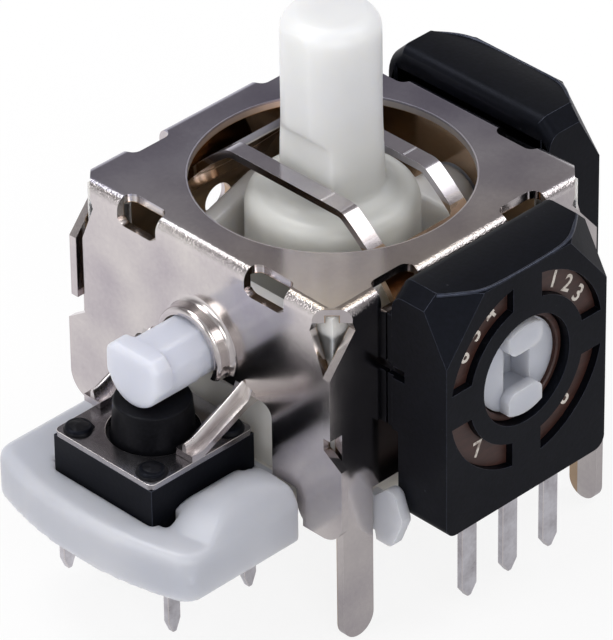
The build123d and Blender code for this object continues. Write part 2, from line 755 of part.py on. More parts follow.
# Both potentiometers are the same, but for the slot that takes the metal or the moulded key
for pot, side, key_slot in (("pot1", plus_x, arch_sheet / 2), ("pot2", plus_y, key_half_height)):
    with BuildPart() as pot_housing:
        with BuildSketch(side.offset(pot_back)):
            with Locations((0, pot_low)):
                Rectangle(2 * pot_half, pot_top - pot_low, align=(Align.CENTER, Align.MIN))
            fillet(vertices().group_by(Axis.Y)[0], pot_corner)
            chamfer(vertices().group_by(Axis.Y)[-1], pot_shoulder)
        extrude(amount=pot_face - pot_back)
        split(bisect_by=corner_plane(side, (0, pot_top, pot_ridge), (1, pot_top, pot_ridge),
                                     (0, pot_top - pot_bevel, pot_face)), keep=Keep.BOTTOM)
        for sign in (-1, 1):
            facet = corner_plane(side, (sign * pot_half, pot_facet_low, pot_face),
                                 (sign * pot_facet_half, pot_top - pot_bevel, pot_face),
                                 (sign * (pot_half - pot_shoulder), pot_top, pot_ridge))
            split(bisect_by=facet, keep=Keep.BOTTOM)

        # Stepped back, with a notch in each side and two pads that stand on the cover
        with BuildSketch(side.offset(pot_back)):
            with Locations((0, pot_step_z)):
                Rectangle(2 * pot_half, pot_step_z, align=(Align.CENTER, Align.MAX))
        extrude(amount=pot_step, mode=Mode.SUBTRACT)
        with BuildSketch(side.offset(pot_back)):
            with Locations((-pot_half, pot_notch_z), (pot_half, pot_notch_z)):
                Rectangle(2 * pot_wall, 2 * pot_notch_half)
        extrude(amount=pot_notch_depth, mode=Mode.SUBTRACT)
        with BuildSketch(side.offset(pot_back)):
            with Locations((0, pot_low + pot_wall)):
                Rectangle(2 * (pot_half - pot_wall), pot_top - pot_low - pot_wall - pot_roof,
                          align=(Align.CENTER, Align.MIN))
        extrude(amount=pot_ridge - pot_back, mode=Mode.SUBTRACT)
        with BuildSketch(side.offset(cover_half + running_gap)):
            with Locations((0, pot_step_z)):
                Rectangle(2 * (pot_half - pot_pad_inset), pot_pad_top - pot_step_z,
                          align=(Align.CENTER, Align.MIN))
                Rectangle(2 * (pot_half - pot_wall), pot_pad_top - pot_step_z,
                          align=(Align.CENTER, Align.MIN), mode=Mode.SUBTRACT)
            with Locations((0, pot_notch_z)):
                Rectangle(2 * pot_half, 2 * pot_notch_half, mode=Mode.SUBTRACT)
        extrude(amount=pot_stand - running_gap)
        with BuildSketch(side.offset(pot_ridge)):
            with Locations((0, axis_z)):
                Circle(window_outer)
                Circle(window_inner, mode=Mode.SUBTRACT)
                Rectangle(2 * window_web, 2 * window_outer, mode=Mode.SUBTRACT)
                Rectangle(2 * window_outer, 2 * window_web, mode=Mode.SUBTRACT)
                Circle(pot_hole)
        extrude(amount=pot_face - pot_ridge, mode=Mode.SUBTRACT)
        with BuildSketch(side.offset(pot_ridge)):
            with Locations((-terminal_pitch, pot_low), (0, pot_low), (terminal_pitch, pot_low)):
                Rectangle(terminal_width + 2 * running_gap, terminal_top_z - pot_low + running_gap,
                          align=(Align.CENTER, Align.MIN))
        extrude(amount=terminal_sheet + running_gap, mode=Mode.SUBTRACT)
    pot_housing.part.label = pot + "_housing"
    export_step(pot_housing.part, "parts/" + pot + "_housing.step")

    with BuildPart() as pot_board:
        with BuildSketch(side.offset(pot_ridge - board_sheet)):
            with Locations((0, pot_low + pot_wall + running_gap)):
                Rectangle(2 * (pot_half - pot_wall - running_gap),
                          pot_top - pot_low - pot_wall - pot_roof - 2 * running_gap,
                          align=(Align.CENTER, Align.MIN))
            with Locations((0, axis_z)):
                Circle(board_hole, mode=Mode.SUBTRACT)
        extrude(amount=board_sheet)
    pot_board.part.label = pot + "_board"
    export_step(pot_board.part, "parts/" + pot + "_board.step")

    with BuildPart() as pot_rotor:
        for radius, start, end in ((rotor_journal, rotor_back, rotor_disc_back),
                                   (rotor_disc, rotor_disc_back, rotor_disc_back + rotor_disc_sheet),
                                   (rotor_hub, wiper_back, rotor_hub_face)):
            with BuildSketch(side.offset(start)):
                with Locations((0, axis_z)):
                    Circle(radius)
            extrude(amount=end - start)
        with BuildSketch(side.offset(rotor_hub_face)):
            with Locations((0, axis_z)):
                Circle(rotor_hub)
                Rectangle(2 * rotor_lug_half, 2 * rotor_hub, mode=Mode.INTERSECT)
                Rectangle(2 * rotor_hub, 2 * rotor_lug_inner, mode=Mode.SUBTRACT)
            inner_ends = (axis_z - rotor_lug_inner, axis_z + rotor_lug_inner)
            lug_corners = vertices().filter_by_position(Axis.Y, *inner_ends)
            fillet(lug_corners, rotor_lug_round)
        extrude(amount=rotor_lug_face - rotor_hub_face)
        with BuildSketch(side.offset(rotor_well_floor)):
            with Locations((0, axis_z)):
                Rectangle(2 * rotor_well_half, 2 * rotor_well_height)
        extrude(amount=rotor_hub_face - rotor_well_floor, mode=Mode.SUBTRACT)
        with BuildSketch(side.offset(rotor_back)):
            with Locations((0, axis_z)):
                Rectangle(2 * (key_half_width + running_gap), 2 * (key_slot + running_gap))
        extrude(amount=rotor_key_end - rotor_back, mode=Mode.SUBTRACT)
    pot_rotor.part.label = pot + "_rotor"
    export_step(pot_rotor.part, "parts/" + pot + "_rotor.step")

    with BuildPart() as pot_wiper:
        with BuildSketch(side.offset(wiper_back)):
            with Locations((0, axis_z)):
                Circle(wiper_outer)
                Circle(wiper_inner, mode=Mode.SUBTRACT)
        extrude(amount=wiper_sheet)
        with BuildSketch(side.offset(wiper_back + wiper_sheet)):
            with Locations((0, axis_z)):
                with PolarLocations((wiper_inner + wiper_outer) / 2, 2):
                    Circle(contact_radius)
        extrude(amount=contact_rise)
    pot_wiper.part.label = pot + "_wiper"
    export_step(pot_wiper.part, "parts/" + pot + "_wiper.step")

    for place, offset_t in (("left", -terminal_pitch), ("middle", 0), ("right", terminal_pitch)):
        with BuildPart() as pot_terminal:
            with BuildSketch(side.offset(pot_ridge)):
                with BuildLine():
                    Polyline(*pin_outline(offset_t, terminal_width, terminal_top_z, terminal_tip_z,
                                          terminal_taper), close=True)
                make_face()
            extrude(amount=terminal_sheet)
        pot_terminal.part.label = pot + "_terminal_" + place
        export_step(pot_terminal.part, "parts/" + pot + "_terminal_" + place + ".step")


# Push switch body, open at the top, with the four studs that hold its plate
with BuildPart() as switch_body:
    with BuildSketch(Plane.XY.offset(switch_seat_z)):
        with Locations((0, switch_y)):
            Rectangle(switch_size, switch_size)
    extrude(amount=switch_body_top - switch_seat_z)
    with BuildSketch(Plane.XY.offset(switch_cavity_z)):
        with Locations((0, switch_y)):
            Circle(switch_cavity)
    extrude(amount=switch_body_top, mode=Mode.SUBTRACT)
    for radius, low, high in ((rivet_shank, switch_body_top, plate_top),
                              (rivet_head, plate_top, plate_top + rivet_rise)):
        with BuildSketch(Plane.XY.offset(low)):
            with Locations((0, switch_y)):
                with GridLocations(rivet_spacing, rivet_spacing, 2, 2):
                    Circle(radius)
        extrude(amount=high - low)
    fillet(faces().group_by(Axis.Z)[-1].edges(), rivet_round)
switch_body.part.label = "switch_body"
export_step(switch_body.part, "parts/switch_body.step")

with BuildPart() as switch_plate:
    with BuildSketch(Plane.XY.offset(switch_body_top)):
        with Locations((0, switch_y)):
            RectangleRounded(switch_size, switch_size, switch_plate_corner)
            Circle(switch_plate_hole, mode=Mode.SUBTRACT)
            with GridLocations(rivet_spacing, rivet_spacing, 2, 2):
                Circle(rivet_shank + seat_gap, mode=Mode.SUBTRACT)
    extrude(amount=switch_plate_sheet)
switch_plate.part.label = "switch_plate"
export_step(switch_plate.part, "parts/switch_plate.step")

with BuildPart() as switch_dome:
    dome_top = switch_cavity_z + dome_rise
    with BuildSketch(Plane.XZ.offset(-switch_y)):
        with BuildLine():
            SagittaArc((-dome_radius, switch_cavity_z), (dome_radius, switch_cavity_z), dome_rise)
            Line((dome_radius, switch_cavity_z), (dome_radius - dome_sheet, switch_cavity_z))
            SagittaArc((-dome_radius + dome_sheet, switch_cavity_z),
                       (dome_radius - dome_sheet, switch_cavity_z), dome_rise - dome_sheet)
            Line((-dome_radius, switch_cavity_z), (-dome_radius + dome_sheet, switch_cavity_z))
        make_face()
        Rectangle(2 * dome_radius, dome_top, align=(Align.MAX, Align.MIN), mode=Mode.SUBTRACT)
    revolve(axis=Axis((0, switch_y, 0), (0, 0, 1)))
switch_dome.part.label = "switch_dome"
export_step(switch_dome.part, "parts/switch_dome.step")

with BuildPart() as switch_button:
    flange_low = switch_body_top - running_gap - button_flange_sheet
    with BuildSketch(Plane.XY.offset(flange_low - button_nub_drop)):
        with Locations((0, switch_y)):
            Circle(button_nub)
    extrude(amount=button_nub_drop)
    with BuildSketch(Plane.XY.offset(flange_low)):
        with Locations((0, switch_y)):
            Circle(button_flange)
    extrude(amount=button_flange_sheet)
    for height, radius in ((switch_body_top - running_gap, button_base), (button_top, button_tip)):
        with BuildSketch(Plane.XY.offset(height)):
            with Locations((0, switch_y)):
                Circle(radius)
    loft()
switch_button.part.label = "switch_button"
export_step(switch_button.part, "parts/switch_button.step")

for place, x_sign, y_sign in (("nose_left", -1, -1), ("nose_right", 1, -1), ("rear_left", -1, 1),
                              ("rear_right", 1, 1)):
    pin_side = Plane(origin=(x_sign * (switch_pin_x - switch_pin_sheet / 2), switch_y, 0), x_dir=(0, 1, 0),
                     z_dir=(1, 0, 0))
    pin_y = y_sign * switch_pin_spacing / 2
    with BuildPart() as switch_terminal:
        with BuildSketch(pin_side):
            with BuildLine():
                Polyline(*pin_outline(pin_y, switch_pin_width, switch_cavity_z, switch_pin_tip_z,
                                      switch_pin_taper), close=True)
            make_face()
        extrude(amount=x_sign * switch_pin_sheet)
        with BuildSketch(pin_side.offset(x_sign * switch_pin_sheet)):
            with Locations((pin_y, switch_cavity_z)):
                Rectangle(switch_pin_width, switch_pin_root, align=(Align.CENTER, Align.MAX))
        extrude(amount=-x_sign * (switch_pin_x + switch_pin_sheet / 2 - switch_size / 2))
    switch_terminal.part.label = "switch_terminal_" + place
    export_step(switch_terminal.part, "parts/switch_terminal_" + place + ".step")
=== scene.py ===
import bpy
import bmesh
import json
import math
from mathutils import Matrix, Vector


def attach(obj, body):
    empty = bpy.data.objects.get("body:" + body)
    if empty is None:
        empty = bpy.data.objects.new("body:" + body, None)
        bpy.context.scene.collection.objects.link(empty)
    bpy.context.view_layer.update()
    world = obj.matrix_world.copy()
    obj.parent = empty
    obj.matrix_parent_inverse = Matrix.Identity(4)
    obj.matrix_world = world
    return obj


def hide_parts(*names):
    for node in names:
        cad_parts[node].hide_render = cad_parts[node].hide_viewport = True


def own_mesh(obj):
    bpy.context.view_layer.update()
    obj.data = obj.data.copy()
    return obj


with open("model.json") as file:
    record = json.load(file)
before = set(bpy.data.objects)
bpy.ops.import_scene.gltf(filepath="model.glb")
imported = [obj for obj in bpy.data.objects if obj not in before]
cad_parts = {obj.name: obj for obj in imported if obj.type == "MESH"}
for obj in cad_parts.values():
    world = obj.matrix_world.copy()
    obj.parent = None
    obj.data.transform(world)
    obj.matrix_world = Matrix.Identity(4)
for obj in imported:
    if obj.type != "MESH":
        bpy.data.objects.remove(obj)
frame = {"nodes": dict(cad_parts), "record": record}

mm = 0.001
mergeGap = 0.0005 * mm                 # points nearer than this become one
creaseAngle = math.radians(28)         # edges bent more than this stay edges
scene = bpy.context.scene
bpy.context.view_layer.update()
bodyOf = {node: body for body, nodes in frame["record"]["behaviour"]["bodies"].items() for node in nodes}
slotOf = {part["node"]: part["material_slot"] for part in frame["record"]["subparts"]}


def hexColour(text):
    values = [int(text[i:i + 2], 16) / 255 for i in (0, 2, 4)]
    return [v / 12.92 if v <= 0.04045 else ((v + 0.055) / 1.055) ** 2.4 for v in values] + [1.0]


# Adds a node with its settings, values and links; a node given as a value links by its first output
def addNode(tree, kind, settings=None, inputs=None):
    node = tree.nodes.new(kind)
    for name, value in (settings or {}).items():
        setattr(node, name, value)
    for name, value in (inputs or {}).items():
        if isinstance(value, bpy.types.Node):
            value = value.outputs[0]
        if isinstance(value, bpy.types.NodeSocket):
            tree.links.new(value, node.inputs[name])
        else:
            node.inputs[name].default_value = value
    return node


def newMaterial(name):
    material = bpy.data.materials.new(name)
    material.use_nodes = True
    tree = material.node_tree
    tree.nodes.clear()
    return material, tree, addNode(tree, "ShaderNodeTexCoord").outputs["Object"]


def setRamp(ramp, stops):
    elements = ramp.color_ramp.elements
    while len(elements) > 1:
        elements.remove(elements[-1])
    elements[0].position, elements[0].color = stops[0]
    for position, colour in stops[1:]:
        elements.new(position).color = colour


def linkObject(name, data):
    item = bpy.data.objects.new(name, data)
    scene.collection.objects.link(item)
    return item


def meshFrom(name, work):
    data = bpy.data.meshes.new(name)
    work.to_mesh(data)
    work.free()
    return data


# The mesh that an object's modifiers give; the object itself goes
def settledMesh(holder):
    bpy.context.view_layer.update()
    data = bpy.data.meshes.new_from_object(holder.evaluated_get(bpy.context.evaluated_depsgraph_get()))
    bpy.data.objects.remove(holder)
    return data


# Camera at the photograph's angle
cameraView = {"azimuth": 45.73, "elevation": 34.48, "roll": -0.836, "distance": 281.75,
              "target": (-1.708, 0.0, 3.699), "focalPixels": 6473.7, "longSide": 640, "sensor": 36.0,
              "clip": (0.01, 10.0)}


def makeCamera(view):
    azimuth, elevation, roll = (math.radians(view[k]) for k in ("azimuth", "elevation", "roll"))
    back = Vector((math.sin(azimuth) * math.cos(elevation), -math.cos(azimuth) * math.cos(elevation),
                   math.sin(elevation)))
    right = Vector((0, 0, 1)).cross(back).normalized()
    up = back.cross(right)
    turnedRight = right * math.cos(roll) + up * math.sin(roll)
    turnedUp = up * math.cos(roll) - right * math.sin(roll)
    data = bpy.data.cameras.new("studioCamera")
    data.sensor_width = view["sensor"]
    data.lens = view["focalPixels"] / view["longSide"] * view["sensor"]
    data.clip_start, data.clip_end = view["clip"]
    camera = linkObject("studioCamera", data)
    camera.matrix_world = Matrix((turnedRight, turnedUp, back)).transposed().to_4x4()
    camera.location = Vector(view["target"]) * mm + back * view["distance"] * mm
    scene.camera = camera


makeCamera(cameraView)
print("camera is set")


# Studio: white paper floor, a room that darkens overhead, soft lamps. To glossy rays the paper glows as a
# painted reflection, white towards -X and darker towards +X
studio = {"floorZ": -4.85, "floorSize": 3.0, "paper": "f4f4f4", "seenWhite": 0.86,
          # Painted reflection of the paper, seen only by glossy rays: its span across X in millimetres, tint
          # and shade
          "paintedReflectionSpanMm": (-26, 26), "paintedReflectionTint": (1.0, 0.985, 1.01),
          "paintedReflectionShade": [(0.0, 1.0), (0.4, 0.85), (0.62, 0.5), (1.0, 0.62)],
          "room": [(0.0, (0.9, 0.9, 0.9, 1)), (0.26, (0.70, 0.70, 0.71, 1)), (0.46, (0.27, 0.255, 0.26, 1)),
                   (0.75, (0.30, 0.29, 0.295, 1)), (1.0, (0.5, 0.5, 0.52, 1))],
          "lamps": {"keyLamp": {"place": (-0.12, -0.52, 0.42), "size": 0.36, "power": 1.3},
                    "fillLamp": {"place": (0.55, -0.30, 0.42), "size": 0.30, "power": 1.25},
                    "topLamp": {"place": (-0.24, -0.06, 0.60), "size": 0.30, "power": 1.5},
                    "backLamp": {"place": (0.20, 0.30, 0.52), "size": 0.30, "power": 0.85}}}


# White paper: dull and even, and seen as plain white by the camera and through clear things; to glossy rays
# it glows as a painted reflection that darkens towards +X
def makePaper(s):
    material, tree, coords = newMaterial("studioPaper")
    light = addNode(tree, "ShaderNodeLightPath")
    seen = addNode(tree, "ShaderNodeMath", {"operation": "MAXIMUM"},
                   {0: light.outputs["Is Camera Ray"], 1: light.outputs["Is Transmission Ray"]})
    share = addNode(tree, "ShaderNodeMath", {"operation": "MULTIPLY"}, {0: seen, 1: s["seenWhite"]})
    paper = addNode(tree, "ShaderNodeBsdfDiffuse", inputs={"Color": hexColour(s["paper"])})
    glow = addNode(tree, "ShaderNodeEmission", inputs={"Color": (1, 1, 1, 1), "Strength": 1.0})
    paperSeen = addNode(tree, "ShaderNodeMixShader", inputs={0: share, 1: paper, 2: glow})
    # Painted reflection: for glossy rays the paper glows with a shade that darkens towards +X
    across = addNode(tree, "ShaderNodeSeparateXYZ", inputs={0: coords})
    low, high = s["paintedReflectionSpanMm"]
    place = addNode(tree, "ShaderNodeMapRange", inputs={"Value": across.outputs["X"], "From Min": low * mm,
                                                        "From Max": high * mm})
    shade = addNode(tree, "ShaderNodeValToRGB", inputs={"Fac": place})
    setRamp(shade, [(x, tuple(v * paintedTint for paintedTint in s["paintedReflectionTint"]) + (1,)) for x, v in s["paintedReflectionShade"]])
    paintedReflection = addNode(tree, "ShaderNodeEmission", inputs={"Color": shade, "Strength": 1.0})
    mix = addNode(tree, "ShaderNodeMixShader", inputs={0: light.outputs["Is Glossy Ray"], 1: paperSeen,
                                                       2: paintedReflection})
    addNode(tree, "ShaderNodeOutputMaterial", inputs={"Surface": mix})
    return material


def makeRoom(s):
    scene.world = bpy.data.worlds.new("studioRoom")
    scene.world.use_nodes = True
    tree = scene.world.node_tree
    tree.nodes.clear()
    light = addNode(tree, "ShaderNodeLightPath")
    direction = addNode(tree, "ShaderNodeTexCoord")
    height = addNode(tree, "ShaderNodeSeparateXYZ", inputs={0: direction.outputs["Generated"]})
    room = addNode(tree, "ShaderNodeValToRGB", inputs={"Fac": height.outputs["Z"]})
    setRamp(room, s["room"])
    mix = addNode(tree, "ShaderNodeMixRGB", inputs={"Fac": light.outputs["Is Camera Ray"], "Color1": room,
                                                    "Color2": (1, 1, 1, 1)})
    back = addNode(tree, "ShaderNodeBackground", inputs={"Color": mix, "Strength": 1.0})
    addNode(tree, "ShaderNodeOutputWorld", inputs={"Surface": back})


def makeStudio(s):
    data = bpy.data.meshes.new("studioFloor")
    half, z = s["floorSize"] / 2, s["floorZ"] * mm
    data.from_pydata([(-half, -half, z), (half, -half, z), (half, half, z), (-half, half, z)], [],
                     [(0, 1, 2, 3)])
    data.materials.append(makePaper(s))
    linkObject("studioFloor", data)
    makeRoom(s)
    for name, given in s["lamps"].items():
        lamp = bpy.data.lights.new(name, "AREA")
        lamp.energy, lamp.size = given["power"], given["size"]
        holder = linkObject(name, lamp)
        holder.location = given["place"]
        holder.rotation_mode = "QUATERNION"
        holder.rotation_quaternion = Vector(given["place"]).to_track_quat("Z", "Y")
    scene.view_settings.view_transform = "Standard"


makeStudio(studio)
print("studio is set")


# Where a material lies within a square of the given half width and below the given height, in millimetres
def withinShare(tree, coords, half, top):
    place = addNode(tree, "ShaderNodeSeparateXYZ", inputs={0: coords})
    sides = [addNode(tree, "ShaderNodeMath", {"operation": "ABSOLUTE"}, {0: place.outputs[k]})
             for k in ("X", "Y")]
    widest = addNode(tree, "ShaderNodeMath", {"operation": "MAXIMUM"}, {0: sides[0], 1: sides[1]})
    within = addNode(tree, "ShaderNodeMath", {"operation": "LESS_THAN"}, {0: widest, 1: half * mm})
    under = addNode(tree, "ShaderNodeMath", {"operation": "LESS_THAN"}, {0: place.outputs["Z"], 1: top * mm})
    return addNode(tree, "ShaderNodeMath", {"operation": "MULTIPLY"}, {0: within, 1: under})


# Sheet metals: cloudy in the large and grained in the small
sheetMetal = {"grainShare": 0.6, "colourSpan": (0.5, 0.98), "roughSpan": (0.45, 1.1), "bumpMm": 0.02}

# Nickel plated steel sheet, stamped and folded: pale, slightly warm, with cloudy gloss from handling.
# Pebbled where it was bent, with painted brown shade inside the cover and a painted reflection across its top
# face
plate = dict(sheetMetal, light="d8d2cf", dark="b4adb2", cloudMm=3.2, grainMm=0.24, rough=(0.13, 0.27),
             bump=0.012, grainShare=0.22, colourSpan=(0.31, 0.79))
plate.update({
    "pebble": 0.36, "pebbleMm": 0.085, "pebbleDepthMm": 0.06, "pebbleOut": 7.0, "pebbleZ": 11.3,
    "aboveAll": 30.0, "bendStart": (0.05, 0.3), "bendEnd": (0.99, 0.9),
    "shearedRadius": (6.12, 6.26), "shearedRough": 0.45,
    # Painted shade inside the cover: a brown tint within insideHalf and under insideTop
    "insideHalf": 7.53, "insideTop": 11.83, "paintedInsideTint": (0.80, 0.63, 0.44, 1),
    # Painted reflection across the cover's top face, above topZ: bluish and darker towards -X and +Y, warmer
    # towards +X and -Y
    "topZ": 12.1, "paintedTopReflectionSpanMm": 11.2, "paintedTopReflectionSlant": -0.6,
    "paintedTopReflection": [(0.0, (0.58, 0.60, 0.74, 1)), (0.375, (0.66, 0.68, 0.80, 1)), (0.625, (0.93, 0.95, 1.0, 1)),
                (0.69, (0.95, 0.95, 0.97, 1)), (1.0, (0.80, 0.74, 0.64, 1))]})

# Sheared edge of the same sheet: rougher than its faces, and painted brighter, a painted highlight
plateEdgeHighlight = dict(plate, light="f2eeec", dark="d6d0d0", rough=(0.26, 0.4), bump=0.06)

# Hot tinned brass pins: bright, with small grey clouds where the tin ran thin
tin = dict(sheetMetal, light="e2e1e6", dark="bfbcc0", cloudMm=0.9, grainMm=0.22, rough=(0.26, 0.42),
           bump=0.14)

# Ground pin, drawn wire and rolled thin sheet of steel: grey and nearly smooth
thinSheet = dict(sheetMetal, light="a9a7ab", dark="858286", cloudMm=2.4, grainMm=0.14, rough=(0.16, 0.26),
                 bump=0.05)

# Rolled phosphor bronze strip: warm yellow with darker clouds
bronze = dict(sheetMetal, light="c79a5c", dark="9a7140", cloudMm=1.5, grainMm=0.1, rough=(0.25, 0.4),
              bump=0.05)


# Pebbles of the plating along the cover's upper bends, which face neither straight up nor sideways
def pebbledBends(tree, coords, height, normal, p):
    facing = addNode(tree, "ShaderNodeSeparateXYZ", inputs={
        0: addNode(tree, "ShaderNodeTexCoord").outputs["Normal"]}).outputs["Z"]
    start = addNode(tree, "ShaderNodeMapRange", inputs={"Value": facing, "From Min": p["bendStart"][0],
                                                        "From Max": p["bendStart"][1]})
    end = addNode(tree, "ShaderNodeMapRange", inputs={"Value": facing, "From Min": p["bendEnd"][0],
                                                      "From Max": p["bendEnd"][1], "To Max": p["pebble"]})
    upper = addNode(tree, "ShaderNodeMath", {"operation": "GREATER_THAN"}, {0: height, 1: p["pebbleZ"] * mm})
    outer = addNode(tree, "ShaderNodeMath", {"operation": "SUBTRACT"},
                    {0: 1.0, 1: withinShare(tree, coords, p["pebbleOut"], p["aboveAll"])})
    share = start
    for limit in (end, upper, outer):
        share = addNode(tree, "ShaderNodeMath", {"operation": "MULTIPLY"}, {0: share, 1: limit})
    pebble = addNode(tree, "ShaderNodeTexNoise", inputs={"Vector": coords, "Scale": 1 / (p["pebbleMm"] * mm)})
    return addNode(tree, "ShaderNodeBump", inputs={"Height": pebble, "Strength": share, "Normal": normal,
                                                   "Distance": p["pebbleDepthMm"] * mm})


# The opening's edge was sheared, so it scatters the light
def shearedRough(tree, place, rough, p):
    flat = addNode(tree, "ShaderNodeCombineXYZ", inputs={"X": place.outputs["X"], "Y": place.outputs["Y"]})
    reach = addNode(tree, "ShaderNodeVectorMath", {"operation": "LENGTH"}, {0: flat}).outputs["Value"]
    low, high = p["shearedRadius"]
    near = addNode(tree, "ShaderNodeMath", {"operation": "LESS_THAN"}, {0: reach, 1: high * mm})
    far = addNode(tree, "ShaderNodeMath", {"operation": "GREATER_THAN"}, {0: reach, 1: low * mm})
    edge = addNode(tree, "ShaderNodeMath", {"operation": "MULTIPLY"}, {0: near, 1: far})
    least = addNode(tree, "ShaderNodeMath", {"operation": "MULTIPLY"}, {0: edge, 1: p["shearedRough"]})
    return addNode(tree, "ShaderNodeMath", {"operation": "MAXIMUM"}, {0: rough, 1: least})


# Pebbled bends and a rough sheared rim, with painted shade inside the cover and a painted reflection across
# the top face
def wornCoverWithPaintedShade(tree, coords, base, normal, rough, p):
    place = addNode(tree, "ShaderNodeSeparateXYZ", inputs={0: coords})
    bump = pebbledBends(tree, coords, place.outputs["Z"], normal, p)
    # Painted brown shade inside the cover
    paintedInsideShade = addNode(tree, "ShaderNodeMixRGB", {"blend_type": "MULTIPLY"},
                    {"Fac": withinShare(tree, coords, p["insideHalf"], p["insideTop"]), "Color1": base,
                     "Color2": p["paintedInsideTint"]})
    # Painted reflection gradient across the top face
    slant = addNode(tree, "ShaderNodeMath", {"operation": "MULTIPLY_ADD"},
                    {0: place.outputs["Y"], 1: p["paintedTopReflectionSlant"], 2: place.outputs["X"]})
    along = addNode(tree, "ShaderNodeMapRange", inputs={"Value": slant, "From Min": -p["paintedTopReflectionSpanMm"] * mm,
                                                        "From Max": p["paintedTopReflectionSpanMm"] * mm})
    paintedTopReflection = addNode(tree, "ShaderNodeValToRGB", inputs={"Fac": along})
    setRamp(paintedTopReflection, p["paintedTopReflection"])
    onTop = addNode(tree, "ShaderNodeMath", {"operation": "GREATER_THAN"},
                    {0: place.outputs["Z"], 1: p["topZ"] * mm})
    withPaintedShade = addNode(tree, "ShaderNodeMixRGB", {"blend_type": "MULTIPLY"},
                      {"Fac": onTop, "Color1": paintedInsideShade, "Color2": paintedTopReflection})
    return withPaintedShade, bump, shearedRough(tree, place, rough, p)


def makePlate(name, p):
    material, tree, coords = newMaterial(name)
    cloud = addNode(tree, "ShaderNodeTexNoise", inputs={"Vector": coords, "Scale": 1 / (p["cloudMm"] * mm),
                                                        "Detail": 1.5, "Roughness": 0.45})
    grain = addNode(tree, "ShaderNodeTexNoise", inputs={"Vector": coords, "Scale": 1 / (p["grainMm"] * mm),
                                                        "Detail": 3.0, "Roughness": 0.6})
    both = addNode(tree, "ShaderNodeMath", {"operation": "MULTIPLY_ADD"},
                   {0: grain, 1: p["grainShare"], 2: cloud})
    colour = addNode(tree, "ShaderNodeValToRGB", inputs={"Fac": both})
    setRamp(colour, list(zip(p["colourSpan"], (hexColour(p["dark"]), hexColour(p["light"])))))
    rough = addNode(tree, "ShaderNodeMapRange", inputs={
        "Value": both, "From Min": p["roughSpan"][0], "From Max": p["roughSpan"][1],
        "To Min": p["rough"][0], "To Max": p["rough"][1]})
    normal = addNode(tree, "ShaderNodeBump", inputs={"Height": grain, "Strength": p["bump"],
                                                     "Distance": p["bumpMm"] * mm})
    if "pebble" in p:
        colour, normal, rough = wornCoverWithPaintedShade(tree, coords, colour, normal, rough, p)
    shader = addNode(tree, "ShaderNodeBsdfPrincipled", inputs={"Base Color": colour, "Metallic": 1.0,
                                                               "Roughness": rough, "Normal": normal})
    addNode(tree, "ShaderNodeOutputMaterial", inputs={"Surface": shader})
    return material


# Natural acetal, moulded: milky and slightly translucent, with a soft gloss and faint flow waves.
# Inside the cover its colour is painted lighter and warmer, a painted bounce light, and on the stick it is
# painted darker and yellower towards the foot, a painted shade
acetal = {"colour": "bcbec5", "shade": "b2b5be", "cloudMm": 4.0, "rough": 0.33, "depthMm": 1.8,
          "weight": 0.9, "scatter": (1.0, 0.95, 0.85), "waveMm": 0.35, "wave": 0.06, "waveDepthMm": 0.03,
          "paintedInsideTint": (1.3, 1.23, 1.06, 1), "lowZ": None}
# The stick's copy is painted darker and yellower from 16.5 mm down to 11.5 mm, a painted shade
stickAcetal = dict(acetal, colour="e4e5e5", shade="dadbdd", lowZ=(16.5, 11.5), paintedLowShade=(0.86, 0.855, 0.81, 1))
# The arm's copy is painted lighter and bluer than the other acetal, a painted cool light
armAcetalPaintedCool = dict(acetal, colour="cfd2dd", shade="c5c8d4")


def makeAcetal(name, p):
    material, tree, coords = newMaterial(name)
    cloud = addNode(tree, "ShaderNodeTexNoise", inputs={"Vector": coords, "Scale": 1 / (p["cloudMm"] * mm),
                                                        "Detail": 2.0})
    colour = addNode(tree, "ShaderNodeValToRGB", inputs={"Fac": cloud})
    setRamp(colour, [(0.3, hexColour(p["shade"])), (0.7, hexColour(p["colour"]))])
    wave = addNode(tree, "ShaderNodeTexNoise", inputs={"Vector": coords, "Scale": 1 / (p["waveMm"] * mm),
                                                       "Detail": 3.0})
    bump = addNode(tree, "ShaderNodeBump", inputs={"Height": wave, "Strength": p["wave"],
                                                   "Distance": p["waveDepthMm"] * mm})
    # With lowZ: painted shade, darker towards the stick's foot. Without it: painted bounce light, lighter
    # inside the cover
    if p["lowZ"]:
        height = addNode(tree, "ShaderNodeSeparateXYZ", inputs={0: coords}).outputs["Z"]
        share = addNode(tree, "ShaderNodeMapRange", inputs={
            "Value": height, "From Min": p["lowZ"][0] * mm, "From Max": p["lowZ"][1] * mm})
        paintedTint = p["paintedLowShade"]
    else:
        share = withinShare(tree, coords, plate["insideHalf"], plate["insideTop"])
        paintedTint = p["paintedInsideTint"]
    withPaintedTint = addNode(tree, "ShaderNodeMixRGB", {"blend_type": "MULTIPLY"},
                     {"Fac": share, "Color1": colour, "Color2": paintedTint})
    shader = addNode(tree, "ShaderNodeBsdfPrincipled", inputs={
        "Base Color": withPaintedTint, "Roughness": p["rough"], "IOR": 1.48, "Subsurface Weight": p["weight"],
        "Subsurface Radius": p["scatter"], "Subsurface Scale": p["depthMm"] * mm, "Normal": bump})
    addNode(tree, "ShaderNodeOutputMaterial", inputs={"Surface": shader})
    return material


# Black filled polyamide, moulded: fine moulded texture, faint blue sheen, pale dust specks
black = {"colour": "050609", "pale": "090a10", "dust": "3c3d42", "textureMm": 0.2, "wideMm": 4.0,
         "dustMm": 1.3, "dustSpan": (0.02, 0.05), "dustShare": 0.6, "rough": (0.34, 0.5), "gloss": 0.12,
         "sheen": (0.72, 0.78, 1.0, 1), "bump": 0.25, "bumpMm": 0.02}

